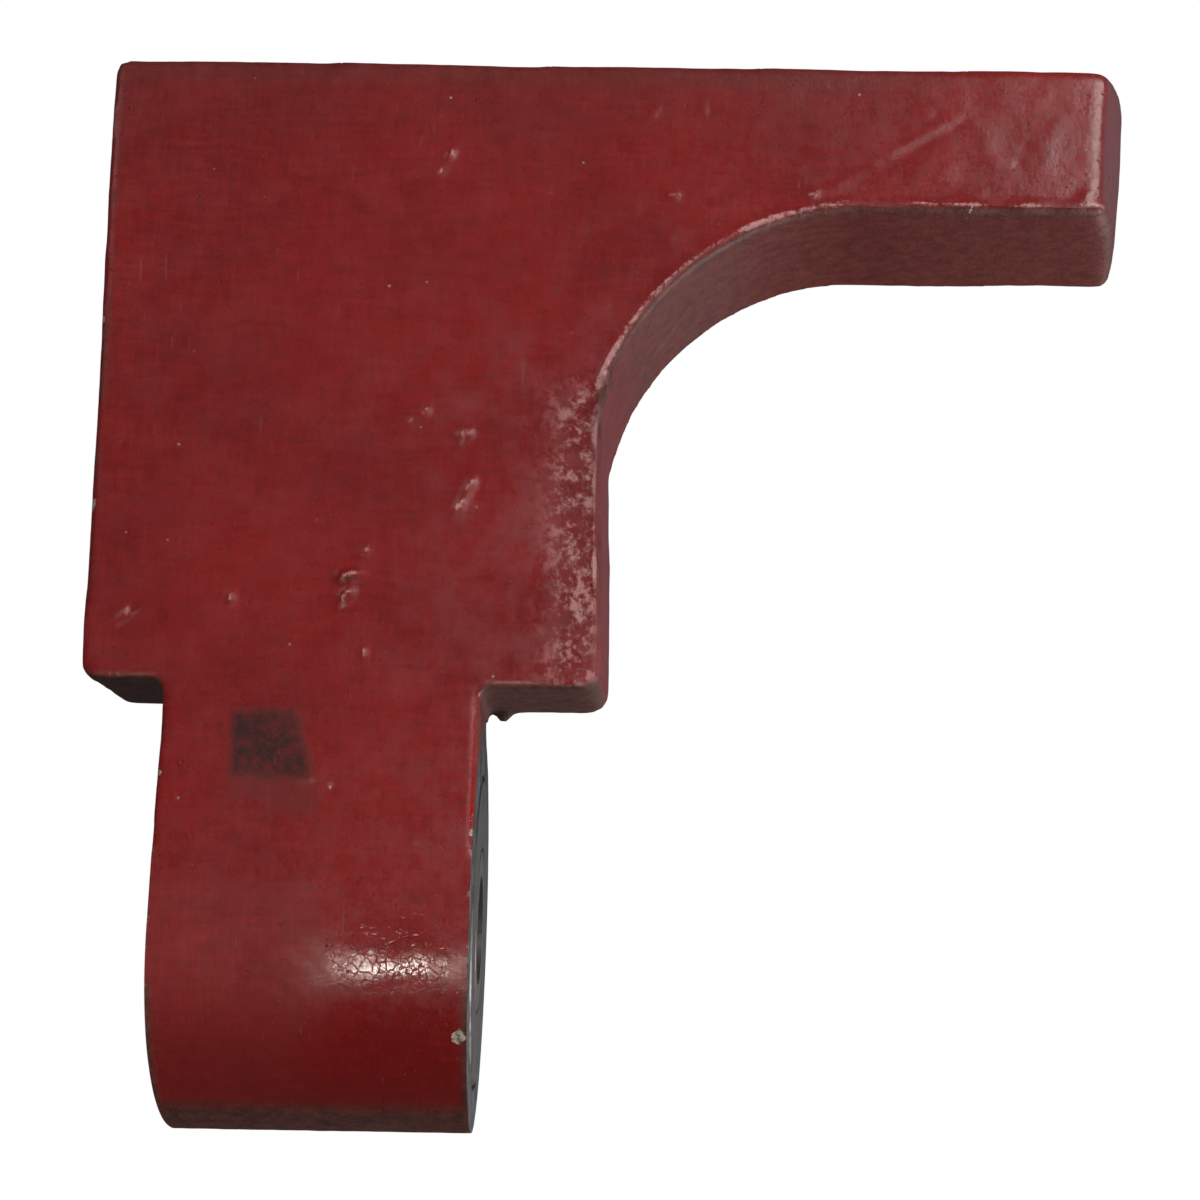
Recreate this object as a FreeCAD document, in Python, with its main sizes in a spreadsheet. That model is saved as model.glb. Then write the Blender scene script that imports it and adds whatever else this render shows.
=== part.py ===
import FreeCAD, Part
import math
import os
import Sketcher

# Shutter dog holdback: a cast catch that swings on a bushed pivot sleeve.
# Millimetres. +X runs along the pivot towards the arm's tip, +Z from the knuckle up to the head,
# +Y from the flush catch face towards the back. The origin is the centre of the pivot bore.

DRIVING_DIMENSIONS = [
    ("plate_thickness", 19.0, "thickness of head, arm and tongue"),
    ("knuckle_radius", 18.8, "outside of the round pivot knuckle"),
    ("tongue_width", 27.6, "width of tongue and knuckle along the pivot"),
    ("cove_radius", 6.0, "hollow between the knuckle and the back of the head"),
    ("left_overhang", 6.6, "head past the tongue on the left"),
    ("right_overhang", 11.6, "head past the tongue on the right"),
    ("shoulder_clearance", 2.4, "shoulders above the top of the knuckle"),
    ("head_height", 59.3, "shoulders to the top of the head"),
    ("arm_height", 14.2, "depth of the catch arm"),
    ("arm_reach", 48.1, "head side to the front edge of the arm's tip"),
    ("tip_flare", 7.2, "how far the tip's back edge stands out past its front edge"),
    ("throat_radius", 26.8, "quarter round between head and arm"),
    ("corner_radius", 1.2, "rounding of the head's outer corners"),
    ("shoulder_fillet", 1.5, "fillet where the shoulders meet the tongue"),
    ("sleeve_bore_radius", 5.25, "hole for the bolt"),
    ("sleeve_radius", 7.95, "outside of the pivot sleeve"),
    ("sleeve_proud", 0.1, "sleeve and washers past each faced side of the knuckle"),
    ("running_clearance", 0.05, "radial gap between sleeve and bushes"),
    ("bush_wall", 1.5, "wall of the bushes"),
    ("grease_gap", 4.2, "space for grease between the two bushes"),
    ("washer_wall", 6.7, "radial width of the thrust washers"),
    ("washer_thickness", 1.6, "thickness of the thrust washers"),
    ("washer_gap", 0.3, "radial gap between a washer and its spot-face"),
    ("washer_slip", 0.05, "radial gap between a washer and the sleeve"),
    ("thrust_gap", 0.2, "axial gap between a washer and its spot-face"),
    ("edge_break", 0.4, "chamfer on the turned pieces"),
]

DERIVED_DIMENSIONS = [
    ("back_plane", "=plate_thickness - knuckle_radius"),
    ("half_tongue", "=tongue_width / 2"),
    ("head_left", "=half_tongue + left_overhang"),
    ("head_right", "=half_tongue + right_overhang"),
    ("shoulder_height", "=knuckle_radius + shoulder_clearance"),
    ("head_top", "=shoulder_height + head_height"),
    ("arm_underside", "=head_top - arm_height"),
    ("tip_front", "=head_right + arm_reach"),
    ("tip_back", "=tip_front + tip_flare"),
    ("cove_depth", "=back_plane + cove_radius"),
    ("cove_height", "=sqrt((knuckle_radius + cove_radius)^2 - cove_depth^2)"),
    ("cove_touch", "=cove_depth * knuckle_radius / (knuckle_radius + cove_radius)"),
    ("tongue_top", "=max(shoulder_height; cove_height) + cove_radius"),
    ("bush_bore_radius", "=sleeve_radius + running_clearance"),
    ("bush_radius", "=bush_bore_radius + bush_wall"),
    ("washer_bore_radius", "=sleeve_radius + washer_slip"),
    ("washer_radius", "=washer_bore_radius + washer_wall"),
    ("spot_radius", "=washer_radius + washer_gap"),
    ("sleeve_half_length", "=half_tongue + sleeve_proud"),
    ("washer_inner_face", "=sleeve_half_length - washer_thickness"),
    ("spot_floor", "=washer_inner_face - thrust_gap"),
    ("bush_inner_end", "=grease_gap / 2"),
]

SMALL = 0.001


def make_sheet(doc):
    """The driving dimensions, then the sizes worked out from them."""
    sheet = doc.addObject("Spreadsheet::Sheet", "sizes")
    rows = [(alias, str(value), note) for alias, value, note in DRIVING_DIMENSIONS]
    rows += [(alias, formula, "worked out") for alias, formula in DERIVED_DIMENSIONS]
    for index, (alias, content, note) in enumerate(rows):
        row = index + 1
        sheet.set("A%d" % row, alias)
        sheet.set("B%d" % row, content)
        sheet.set("C%d" % row, note)
        sheet.setAlias("B%d" % row, alias)
    doc.recompute()
    return sheet


def cell(name):
    return "sizes." + name


def make_body(doc, label):
    body = doc.addObject("PartDesign::Body", label)
    body.Label = label
    return body


def make_sketch(body, name, plane_role):
    sketch = body.newObject("Sketcher::SketchObject", name)
    plane = [item for item in body.Origin.OriginFeatures if item.Role == plane_role][0]
    sketch.AttachmentSupport = [(plane, "")]
    sketch.MapMode = "FlatFace"
    return sketch


def bind(sketch, kind, places, name, formula):
    """Add a named dimension between the given places and tie it to a formula."""
    index = sketch.addConstraint(Sketcher.Constraint(kind, *places, 1.0))
    sketch.renameConstraint(index, name)
    sketch.setExpression("Constraints." + name, formula)


def place(sketch, edge, end, name, across=None, up=None):
    """Tie one end of an edge to formulas, measured from the sketch's origin."""
    if across is not None:
        bind(sketch, "DistanceX", (-1, 1, edge, end), name + "_across", across)
    if up is not None:
        bind(sketch, "DistanceY", (-1, 1, edge, end), name + "_up", up)


def add_line(sketch, start, end):
    return sketch.addGeometry(Part.LineSegment(FreeCAD.Vector(*start, 0), FreeCAD.Vector(*end, 0)), False)


def add_arc(sketch, centre, radius, start_angle, end_angle):
    circle = Part.Circle(FreeCAD.Vector(*centre, 0), FreeCAD.Vector(0, 0, 1), radius)
    return sketch.addGeometry(Part.ArcOfCircle(circle, start_angle, end_angle), False)


def join(sketch, first_edge, first_end, second_edge, second_end):
    sketch.addConstraint(Sketcher.Constraint("Coincident", first_edge, first_end, second_edge, second_end))


def draw_polygon(sketch, sheet, corners):
    """A closed outline of straight lines; each corner is a pair of formulas."""
    points = [(sheet.evalExpression(across), sheet.evalExpression(up)) for across, up in corners]
    lines = [add_line(sketch, points[i], points[(i + 1) % len(points)]) for i in range(len(points))]
    for index, line in enumerate(lines):
        join(sketch, line, 2, lines[(index + 1) % len(lines)], 1)
    for index, (across, up) in enumerate(corners):
        place(sketch, lines[index], 1, "corner%d" % (index + 1), across, up)


def draw_circle(sketch, name, radius, formula):
    circle = Part.Circle(FreeCAD.Vector(0, 0, 0), FreeCAD.Vector(0, 0, 1), radius)
    edge = sketch.addGeometry(circle, False)
    join(sketch, edge, 3, -1, 1)
    bind(sketch, "Radius", (edge,), name, formula)


def add_feature(body, kind, name, sketch, **settings):
    """A PartDesign feature made from a sketch, with lengths tied to formulas."""
    feature = body.newObject("PartDesign::" + kind, name)
    feature.Profile = sketch
    for key, value in settings.items():
        if isinstance(value, str) and value.startswith("="):
            feature.setExpression(key, value[1:])
        else:
            setattr(feature, key, value)
    sketch.Document.recompute()
    return feature


def edges_across_plate(feature, spots):
    """Names of the edges that run along Y through any of the given (x, z) spots."""
    names = []
    for index, edge in enumerate(feature.Shape.Edges):
        ends = [vertex.Point for vertex in edge.Vertexes]
        if len(ends) != 2 or abs(ends[0].x - ends[1].x) > SMALL or abs(ends[0].z - ends[1].z) > SMALL:
            continue
        if any(math.hypot(ends[0].x - x, ends[0].z - z) < SMALL for x, z in spots):
            names.append("Edge%d" % (index + 1))
    if len(names) < len(spots):
        raise RuntimeError("an edge of the plate wasn't found")
    return names


def add_fillet(body, name, base, spots, formula):
    fillet = body.newObject("PartDesign::Fillet", name)
    fillet.Base = (base, edges_across_plate(base, spots))
    fillet.setExpression("Radius", formula)
    body.Document.recompute()
    return fillet


def add_knuckle_and_tongue(body, sheet):
    """The side profile: flush front, round knuckle, cove at the back, then up into the head."""
    sketch = make_sketch(body, "side_profile", "YZ_Plane")
    front = -sheet.knuckle_radius
    cove_angle = math.atan2(sheet.cove_height, sheet.cove_depth)
    knuckle = add_arc(sketch, (0, 0), sheet.knuckle_radius, math.pi, 2 * math.pi + cove_angle)
    cove = add_arc(sketch, (sheet.cove_depth, sheet.cove_height), sheet.cove_radius,
                   math.pi, math.pi + cove_angle)
    back = add_line(sketch, (sheet.back_plane, sheet.cove_height), (sheet.back_plane, sheet.tongue_top))
    top = add_line(sketch, (sheet.back_plane, sheet.tongue_top), (front, sheet.tongue_top))
    face = add_line(sketch, (front, sheet.tongue_top), (front, 0))
    join(sketch, knuckle, 3, -1, 1)
    join(sketch, knuckle, 2, cove, 2)
    join(sketch, cove, 1, back, 1)
    join(sketch, back, 2, top, 1)
    join(sketch, top, 2, face, 1)
    join(sketch, face, 2, knuckle, 1)
    bind(sketch, "Radius", (knuckle,), "knuckle_radius", cell("knuckle_radius"))
    sketch.addConstraint(Sketcher.Constraint("Horizontal", -1, 1, knuckle, 1))
    place(sketch, knuckle, 2, "cove_end", across=cell("cove_touch"))
    place(sketch, cove, 3, "cove_centre", cell("cove_depth"), cell("cove_height"))
    place(sketch, cove, 1, "cove_start", up=cell("cove_height"))
    place(sketch, back, 2, "back_corner", cell("back_plane"), cell("tongue_top"))
    place(sketch, top, 2, "front_corner", "-" + cell("knuckle_radius"), cell("tongue_top"))
    return add_feature(body, "Pad", "knuckle_and_tongue", sketch,
                       Length="=" + cell("tongue_width"), Midplane=True)


def add_head(body, sheet):
    """Head and arm, one outline as thick as the plate, with the arm's tip at its back edge."""
    sketch = make_sketch(body, "head_outline", "XZ_Plane")
    sketch.setExpression("AttachmentOffset.Base.z", "-" + cell("back_plane"))
    draw_polygon(sketch, sheet, [
        ("-" + cell("head_left"), cell("head_top")),
        ("-" + cell("head_left"), cell("shoulder_height")),
        (cell("head_right"), cell("shoulder_height")),
        (cell("head_right"), cell("arm_underside")),
        (cell("tip_back"), cell("arm_underside")),
        (cell("tip_back"), cell("head_top")),
    ])
    return add_feature(body, "Pad", "head", sketch, Length="=" + cell("plate_thickness"))


def cut_tip(body, sheet):
    """The tip's end face slants from its front edge out to its back edge."""
    sketch = make_sketch(body, "tip_slant", "XY_Plane")
    draw_polygon(sketch, sheet, [
        (cell("tip_front"), "-" + cell("knuckle_radius")),
        (cell("tip_back"), "-" + cell("knuckle_radius")),
        (cell("tip_back"), cell("back_plane")),
    ])
    return add_feature(body, "Pocket", "tip_face", sketch, Type="ThroughAll", Midplane=True)


def bore_knuckle(body, sheet):
    """The bushes' seat right through the knuckle, and a spot-face for a washer on each side."""
    seat_sketch = make_sketch(body, "bush_seat_circle", "YZ_Plane")
    draw_circle(seat_sketch, "seat_radius", sheet.bush_radius, cell("bush_radius"))
    add_feature(body, "Pocket", "bush_seat", seat_sketch, Length="=" + cell("tongue_width"), Midplane=True)
    spot_sketch = make_sketch(body, "spot_face_circle", "YZ_Plane")
    spot_sketch.setExpression("AttachmentOffset.Base.z", cell("spot_floor"))
    draw_circle(spot_sketch, "spot_radius", sheet.spot_radius, cell("spot_radius"))
    spot = add_feature(body, "Pocket", "spot_face", spot_sketch, Reversed=True,
                       Length="=" + cell("half_tongue") + " - " + cell("spot_floor"))
    mirrored = body.newObject("PartDesign::Mirrored", "both_spot_faces")
    mirrored.Originals = [spot]
    plane = [item for item in body.Origin.OriginFeatures if item.Role == "YZ_Plane"][0]
    mirrored.MirrorPlane = (plane, [""])
    body.Tip = mirrored
    body.Document.recompute()


def make_dog_casting(doc, sheet):
    body = make_body(doc, "dog_casting")
    add_knuckle_and_tongue(body, sheet)
    add_head(body, sheet)
    shape = cut_tip(body, sheet)
    shape = add_fillet(body, "throat", shape, [(sheet.head_right, sheet.arm_underside)],
                       cell("throat_radius"))
    shape = add_fillet(body, "outer_corners", shape, [
        (-sheet.head_left, sheet.head_top),
        (-sheet.head_left, sheet.shoulder_height),
        (sheet.head_right, sheet.shoulder_height),
    ], cell("corner_radius"))
    add_fillet(body, "shoulder_fillets", shape, [
        (-sheet.half_tongue, sheet.shoulder_height),
        (sheet.half_tongue, sheet.shoulder_height),
    ], cell("shoulder_fillet"))
    bore_knuckle(body, sheet)
    return body


def make_ring(doc, sheet, label, inner, outer, near, far, side=1):
    """A turned ring about the pivot between two distances along it, mirrored where side is -1."""
    body = make_body(doc, label)
    sketch = make_sketch(body, label + "_section", "XY_Plane")
    sign = "" if side > 0 else "-"
    edge_break = cell("edge_break")
    low, high = sign + "(" + near + ")", sign + "(" + far + ")"
    low_in = sign + "(" + near + " + " + edge_break + ")"
    high_in = sign + "(" + far + " - " + edge_break + ")"
    draw_polygon(sketch, sheet, [
        (low, inner),
        (high, inner),
        (high, outer + " - " + edge_break),
        (high_in, outer),
        (low_in, outer),
        (low, outer + " - " + edge_break),
    ])
    axis = [item for item in body.Origin.OriginFeatures if item.Role == "X_Axis"][0]
    add_feature(body, "Revolution", label + "_turned", sketch, ReferenceAxis=(axis, [""]), Angle=360.0)
    return body


def make_pivot_pieces(doc, sheet):
    pieces = []
    half_length = cell("sleeve_half_length")
    pieces.append(make_ring(doc, sheet, "pivot_sleeve", cell("sleeve_bore_radius"),
                            cell("sleeve_radius"), "-" + half_length, half_length))
    for side, name in ((-1, "left"), (1, "right")):
        pieces.append(make_ring(doc, sheet, "bush_" + name, cell("bush_bore_radius"),
                                cell("bush_radius"), cell("bush_inner_end"), cell("spot_floor"), side))
        pieces.append(make_ring(doc, sheet, "washer_" + name, cell("washer_bore_radius"),
                                cell("washer_radius"), cell("washer_inner_face"), half_length, side))
    return pieces


def check_document(doc):
    for item in doc.Objects:
        if "Invalid" in item.State or "Error" in item.State:
            raise RuntimeError("object failed: " + item.Name)


def export_pieces(pieces):
    os.makedirs("parts", exist_ok=True)
    for piece in pieces:
        shape = piece.Shape
        if shape.isNull() or not shape.isValid() or len(shape.Solids) != 1:
            raise RuntimeError("bad shape: " + piece.Label)
        shape.exportStep("parts/" + piece.Label + ".step")
        print("%s: volume %.1f mm3, box %s" % (piece.Label, shape.Volume, shape.BoundBox))


def main():
    doc = FreeCAD.newDocument("shutter_dog_holdback")
    sheet = make_sheet(doc)
    pieces = [make_dog_casting(doc, sheet)] + make_pivot_pieces(doc, sheet)
    doc.recompute()
    check_document(doc)
    export_pieces(pieces)


main()
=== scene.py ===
import math

import bmesh
import bpy
import numpy as np
from mathutils import Matrix, Vector, noise


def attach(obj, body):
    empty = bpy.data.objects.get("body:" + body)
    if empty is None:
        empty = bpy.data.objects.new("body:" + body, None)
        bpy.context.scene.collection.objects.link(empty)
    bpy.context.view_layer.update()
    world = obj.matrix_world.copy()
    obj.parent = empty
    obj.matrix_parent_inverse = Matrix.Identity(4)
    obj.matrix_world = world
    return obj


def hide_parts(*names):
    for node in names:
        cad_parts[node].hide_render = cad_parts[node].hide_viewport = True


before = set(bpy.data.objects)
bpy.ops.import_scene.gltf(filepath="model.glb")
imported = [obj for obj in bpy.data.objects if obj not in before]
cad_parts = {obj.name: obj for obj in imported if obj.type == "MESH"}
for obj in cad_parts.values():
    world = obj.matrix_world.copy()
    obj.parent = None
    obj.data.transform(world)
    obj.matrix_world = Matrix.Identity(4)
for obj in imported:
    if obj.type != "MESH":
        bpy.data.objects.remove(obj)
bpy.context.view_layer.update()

# Lengths are in millimetres in the part's frame: +X right, -Y towards the viewer, +Z up.
# The bore lies on the X axis.
MM = 0.001

# The plate that the head and the tongue share
FRONT_Y = -18.8
BACK_Y = 0.2

# The head leans a little, as cast, while the bore, the faced sides and the shoulders are square
HEAD_LEAN = math.radians(1.23)
HEAD_TOP = 80.9
SHOULDER_Z = 21.3

# The head's outline at its front and back face: the side and the end flare towards the back
FRONT_FACE = dict(y=FRONT_Y, left_x=-20.6, side_x=25.2, under_z=66.3, tip_top=73.6, tip_low=72.2,
                  throat_x=50.7, throat_z=39.6, throat_radius=26.8)
BACK_FACE = dict(y=BACK_Y, left_x=-22.0, side_x=26.6, under_z=66.1, tip_top=80.9, tip_low=79.5,
                 throat_x=52.7, throat_z=39.6, throat_radius=26.6)
TIP_CROWN = 1.5
THROAT_STEPS = 40
OUTLINE_CORNERS = 4
TOP_ROUNDING = 3.0
CORNER_ROUNDING = 1.2
SHOULDER_ROUNDING = 2.2

# The tongue and the pivot barrel
BARREL_RADIUS = 18.8
COVE_RADIUS = 6.0
COVE_STEPS = 8
TONGUE_HALF = 13.9
BARREL_HALF = 14.8
BARREL_TOP_Z = 6.5
ARC_STEPS = 48

# Machining of the barrel
FACED_HALF = 13.8
FACED_RADIUS = 20.4
SPOT_FACE_HALF = 12.1
SPOT_FACE_RADIUS = 15.0
SEAT_RADIUS = 9.5
CUTTER_HALF = 18.0
CUTTER_STEPS = 128

# The one skin over the casting, how often it is smoothed, and the angle from which its edges are sharp
VOXEL = 0.43
SMOOTH_ROUNDS = 6
SHARP_ANGLE = math.radians(38)


# ---------------------------------------------------------------- mesh


def leaned(x, z):
    """A point of the head, turned about the bore with the head's lean."""
    c, s = math.cos(HEAD_LEAN), math.sin(HEAD_LEAN)
    return x * c - z * s, x * s + z * c


def foot(x):
    """Where the leaned side at x meets the shoulder plane."""
    return x / math.cos(HEAD_LEAN) - SHOULDER_Z * math.tan(HEAD_LEAN), SHOULDER_Z


def arc(centre_a, centre_b, radius, start, end, steps):
    """Points along an arc, from angle start to angle end in radians."""
    angles = np.linspace(start, end, steps + 1)
    return [(centre_a + radius * math.cos(t), centre_b + radius * math.sin(t)) for t in angles]


def head_outline(face):
    """The head's outline at one face of the plate, clockwise from the left shoulder."""
    centre_x = face["throat_x"]
    centre_z = face["throat_z"]
    radius = face["throat_radius"]
    top_angle = math.pi - math.asin((face["under_z"] - centre_z) / radius)
    side_angle = math.acos((face["side_x"] - centre_x) / radius)
    throat = arc(centre_x, centre_z, radius, top_angle, side_angle, THROAT_STEPS)
    corners = [(face["left_x"], HEAD_TOP), (face["tip_top"], HEAD_TOP), (face["tip_low"], face["under_z"])]
    return [foot(face["left_x"])] + [leaned(x, z) for x, z in corners + throat] + [foot(face["side_x"])]


def prism(bm, ring_a, ring_b):
    """Adds a closed solid between two rings of points that match one to one."""
    a = [bm.verts.new(p) for p in ring_a]
    b = [bm.verts.new(p) for p in ring_b]
    bm.faces.new(a)
    bm.faces.new(list(reversed(b)))
    for i in range(len(a)):
        j = (i + 1) % len(a)
        bm.faces.new((a[j], a[i], b[i], b[j]))
    return a, b


def edges_between(bm, verts_a, verts_b):
    return [bm.edges.get(pair) for pair in zip(verts_a, verts_b)]


def round_edges(bm, edges, radius, segments):
    bmesh.ops.bevel(bm, geom=edges, offset=radius, segments=segments, profile=0.5, affect="EDGES")


def is_top_front(edge):
    """Whether an edge is the long one along the top of the head's front face."""
    ends = [vert.co for vert in edge.verts]
    on_front = all(abs(end.y - FRONT_Y) < 0.01 for end in ends)
    on_top = min(end.z for end in ends) > HEAD_TOP - 1.5
    return on_front and on_top and abs(ends[0].x - ends[1].x) > 40


def add_head(bm):
    """The head and the arm, with rounded corners, shoulder and top edge."""
    rings = [[(x, face["y"], z) for x, z in head_outline(face)] for face in (FRONT_FACE, BACK_FACE)]
    front, back = prism(bm, *rings)
    corners = edges_between(bm, front[:OUTLINE_CORNERS], back[:OUTLINE_CORNERS])
    round_edges(bm, corners, CORNER_ROUNDING, segments=4)
    shoulder = edges_between(bm, front[-1:], back[-1:])
    round_edges(bm, shoulder, SHOULDER_ROUNDING, segments=5)
    top_front = [edge for edge in bm.edges if is_top_front(edge)]
    round_edges(bm, top_front, TOP_ROUNDING, segments=6)


def extrude_along_x(bm, outline, half):
    prism(bm, [(-half, y, z) for y, z in outline], [(half, y, z) for y, z in outline])


def add_tongue(bm):
    """The tongue and the barrel, with the cove behind them and the barrel's slightly wider lower part."""
    cove_y = BACK_Y + COVE_RADIUS
    cove_z = math.sqrt((BARREL_RADIUS + COVE_RADIUS) ** 2 - cove_y**2)
    touch = math.atan2(cove_z, cove_y)
    top_z = (SHOULDER_Z + HEAD_TOP) / 2
    barrel = arc(0, 0, BARREL_RADIUS, math.pi, 2 * math.pi + touch, ARC_STEPS)
    cove = arc(cove_y, cove_z, COVE_RADIUS, math.pi + touch, math.pi, COVE_STEPS)
    extrude_along_x(bm, [(FRONT_Y, top_z)] + barrel + cove[1:] + [(BACK_Y, top_z)], TONGUE_HALF)
    rise = math.asin(BARREL_TOP_Z / BARREL_RADIUS)
    wide = arc(0, 0, BARREL_RADIUS, math.pi, 2 * math.pi + rise, ARC_STEPS)
    extrude_along_x(bm, [(FRONT_Y, BARREL_TOP_Z)] + wide, BARREL_HALF)


def add_cutter(bm):
    """The stepped tool that faces both sides of the barrel, sinks the spot-faces and bores the seat."""
    steps = [(CUTTER_HALF, FACED_RADIUS), (FACED_HALF, FACED_RADIUS), (FACED_HALF, SPOT_FACE_RADIUS),
             (SPOT_FACE_HALF, SPOT_FACE_RADIUS), (SPOT_FACE_HALF, SEAT_RADIUS)]
    profile = [(-x, r) for x, r in steps] + [(x, r) for x, r in reversed(steps)]
    turns = [2 * math.pi * i / CUTTER_STEPS for i in range(CUTTER_STEPS)]
    rings = [[bm.verts.new((x, r * math.cos(t), r * math.sin(t))) for t in turns] for x, r in profile]
    for low, high in zip(rings, rings[1:]):
        for i in range(CUTTER_STEPS):
            j = (i + 1) % CUTTER_STEPS
            bm.faces.new((low[i], low[j], high[j], high[i]))
    bm.faces.new(rings[0])
    bm.faces.new(rings[-1])


def object_from(name, *builders):
    """An object whose mesh the builders make in millimetres."""
    bm = bmesh.new()
    for build in builders:
        build(bm)
    bmesh.ops.recalc_face_normals(bm, faces=bm.faces)
    bmesh.ops.scale(bm, vec=(MM, MM, MM), verts=bm.verts)
    mesh = bpy.data.meshes.new(name)
    bm.to_mesh(mesh)
    bm.free()
    obj = bpy.data.objects.new(name, mesh)
    bpy.context.scene.collection.objects.link(obj)
    return obj


def apply_modifiers(obj):
    """Bakes the object's modifiers into its mesh."""
    graph = bpy.context.evaluated_depsgraph_get()
    mesh = bpy.data.meshes.new_from_object(obj.evaluated_get(graph))
    obj.modifiers.clear()
    obj.data = mesh


# ---------------------------------------------------------------- cast and painted surface

# Each mark on the front face: x, z, length, width, angle in degrees, height (a dent is below zero)
MARKS = [
    (2.3, 31.2, 2.1, 0.8, 15, 0.60),
    (1.4, 30.9, 1.2, 0.7, -50, 0.50),
    (1.9, 29.3, 1.9, 0.9, 55, 0.60),
    (3.4, 33.3, 1.8, 0.7, 60, 0.34),
    (-17.6, 27.0, 3.2, 0.5, 40, -0.40),
    (-17.0, 26.4, 2.4, 0.4, 40, 0.20),
    (-15.8, 28.9, 2.2, 0.3, 40, 0.12),
    (9.6, 71.7, 1.4, 0.6, 62, 0.50),
    (8.7, 69.9, 1.8, 0.7, 60, 0.30),
    (-0.7, 60.3, 1.4, 0.3, 8, 0.20),
    (-3.8, 75.2, 0.7, 0.5, 60, 0.16),
    (-1.1, 76.1, 0.8, 0.3, -35, 0.16),
    (11.9, 44.4, 1.7, 1.0, 45, 0.52),
    (12.5, 39.6, 2.0, 0.8, 62, 0.50),
    (11.6, 37.6, 2.2, 0.9, 62, 0.46),
    (8.2, 46.5, 1.6, 0.8, 80, 0.42),
    (7.0, 45.6, 1.3, 0.8, 50, 0.34),
    (-2.2, 41.8, 0.9, 0.4, 70, 0.16),
    (-1.0, 36.2, 1.2, 0.6, 50, 0.32),
    (-8.3, 28.8, 1.5, 0.7, 80, 0.42),
    (5.4, 34.7, 1.8, 1.0, 60, 0.16),
    (30.6, 68.2, 1.1, 0.9, 10, 0.34),
    (30.2, 63.8, 0.5, 0.4, 10, 0.20),
    (43.6, 68.7, 1.6, 0.7, 28, 0.34),
    (46.4, 70.0, 3.4, 0.7, 24, 0.16),
    (28.6, 76.6, 2.0, 0.5, 55, 0.20),
    (33.3, 76.8, 2.6, 0.3, 80, 0.20),
    (38.4, 75.6, 1.8, 0.3, -10, 0.18),
    (54.0, 74.9, 8.4, 0.6, 30, 0.13),
    (54.3, 74.2, 8.4, 0.8, 30, -0.12),
    (54.6, 71.0, 9.0, 2.4, 10, 0.07),
    (60.5, 74.0, 6.0, 2.2, -60, 0.07),
    (66.0, 73.5, 5.0, 2.2, 80, 0.06),
    (64.0, 74.0, 0.9, 0.5, 10, -0.16),
    (63.3, 72.4, 0.6, 0.4, 60, -0.16),
    (55.5, 77.1, 0.6, 0.5, 0, -0.16),
    (69.6, 69.4, 1.6, 0.9, 45, 0.24),
    (1.3, 11.8, 1.0, 0.7, 60, -0.34),
    (-0.6, 13.2, 1.8, 0.6, 5, 0.18),
    (5.3, 11.2, 0.8, 0.3, 60, -0.28),
    (12.4, 12.0, 0.8, 0.4, 70, -0.26),
    (9.0, 8.0, 1.2, 0.6, 80, 0.20),
    (-5.3, -3.1, 0.6, 0.5, 0, 0.08),
    (-1.2, -1.4, 0.5, 0.4, 0, -0.12),
    (-0.4, -1.7, 0.5, 0.3, 60, -0.12),
    (3.7, 24.2, 0.5, 1.8, 0, 0.26),
    (4.0, 22.0, 0.5, 0.9, 0, 0.22),
    (24.0, 47.2, 2.2, 0.9, 80, 0.55),
    (24.4, 49.4, 2.8, 0.8, 75, 0.65),
    (25.4, 50.2, 3.2, 0.8, 65, 0.65),
    (24.9, 48.8, 3.0, 0.4, 70, -0.70),
    (23.2, 46.8, 0.9, 0.6, 20, 0.30),
]

# Each chip in the paint: x, z, radius
CHIPS = [
    (13.2, -8.9, 0.85),
    (13.4, -13.0, 0.45),
    (13.5, -11.9, 0.35),
    (58.6, 67.8, 0.40),
    (24.6, 21.7, 0.45),
    (-21.5, 37.0, 0.80),
    (-21.8, 54.5, 0.50),
    (-13.7, 13.1, 0.40),
    (13.7, 8.6, 0.35),
]

# The bead of paint along the throat and the arm
BEAD_INSET = 0.55
BEAD_WIDTH = 0.45
BEAD_HEIGHT = 0.42

# The pitted band down the right of the head
BAND_X = 22.6
BAND_WIDTH = 2.6
BAND_TOP = 50.0
BAND_RELIEF = 0.11
BAND_FALL = 0.55

# The drip of paint under the right shoulder
DRIP_PLACE = (15.6, -0.6, 21.2)
DRIP_LENGTH = 1.1
DRIP_RADIUS = 0.75


def smooth_step(value, low, high):
    t = np.clip((value - low) / (high - low), 0, 1)
    return t * t * (3 - 2 * t)


def at_least(least, share):
    """Goes from least to 1 as the share goes from 0 to 1."""
    return least + (1 - least) * share


def noise_at(points, size, offset=0.0):
    """Smooth noise from about -1 to 1, with bumps of about that size."""
    return np.array([noise.noise(Vector(p) / size + Vector((offset, 0, 0))) for p in points])


def vertex_rows(mesh, quality):
    """What every vertex has of a quality, co or normal, one row for each."""
    values = np.zeros(len(mesh.vertices) * 3, np.float32)
    mesh.vertices.foreach_get(quality, values)
    return values.reshape(-1, 3)


def upright(x, z):
    """The place in the head's own outline of a point of the leaned head."""
    c, s = math.cos(HEAD_LEAN), math.sin(HEAD_LEAN)
    return x * c + z * s, z * c - x * s


def mark_shape(x, z, mark):
    """1 at the middle of a mark, falling to 0 outside it."""
    mark_x, mark_z, length, width, angle, _ = mark
    c, s = math.cos(math.radians(angle)), math.sin(math.radians(angle))
    along = ((x - mark_x) * c + (z - mark_z) * s) / (length / 2)
    across = ((z - mark_z) * c - (x - mark_x) * s) / (width / 2)
    return np.exp(-(along**2) - across**2)


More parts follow.
